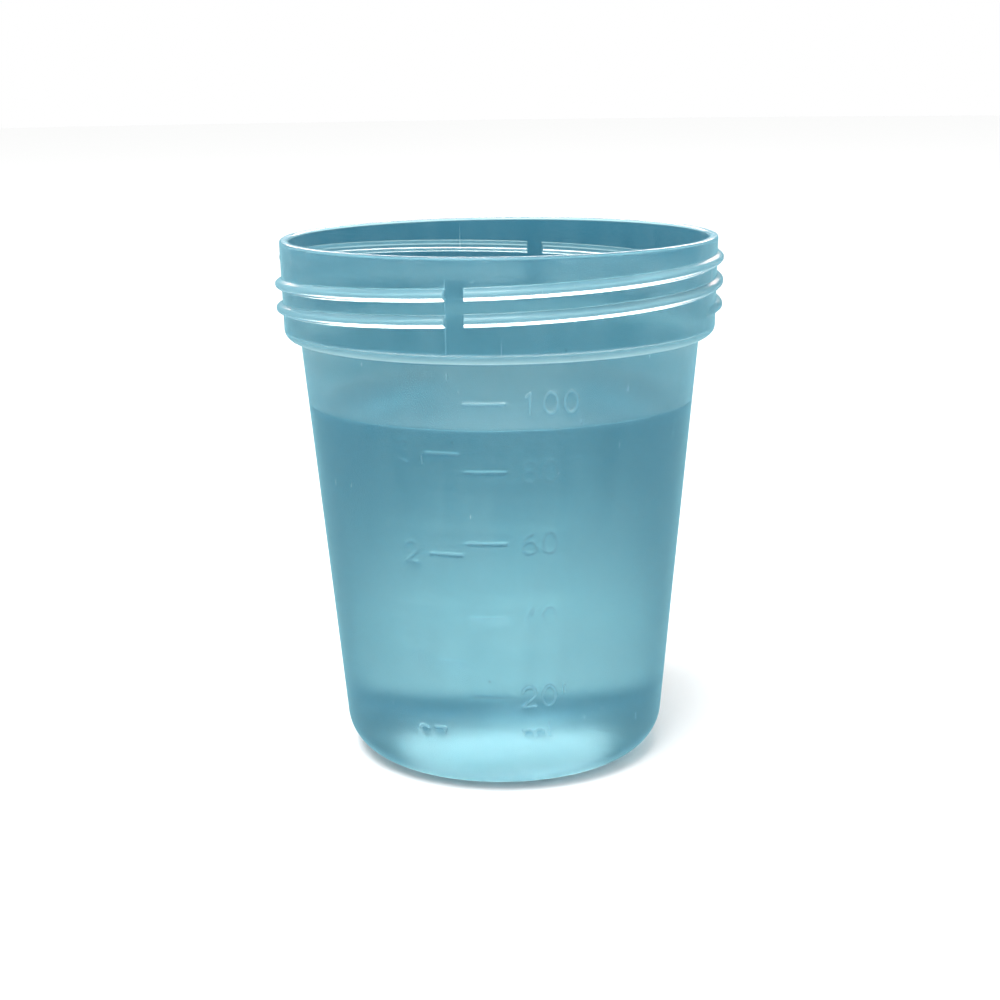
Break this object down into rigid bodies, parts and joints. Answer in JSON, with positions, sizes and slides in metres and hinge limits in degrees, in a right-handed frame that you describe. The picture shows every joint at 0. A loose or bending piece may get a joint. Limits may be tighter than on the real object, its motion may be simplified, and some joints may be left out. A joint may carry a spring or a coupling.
{
  "type": "fuel sampler cup",
  "caption": "Translucent graduated plastic sampling cup with a screw collar, tapered body and rounded foot, holding a blue fuel sample.",
  "frame": {"origin": "centre of the foot, on the surface that the cup stands on", "axes": "+Z along the cup's axis, up towards the mouth; the raised scale faces -Y; +X is to the right of a person who reads the scale"},
  "size_m": [0.063, 0.063, 0.0747],
  "materials": {
    "cup_plastic": "translucent moulded polypropylene, satin, blue tint",
    "fuel": "clear liquid dyed pale blue"
  },
  "bodies": {
    "root": {"cup": "cup_plastic", "fuel_sample": "fuel"}
  },
  "joints": []
}
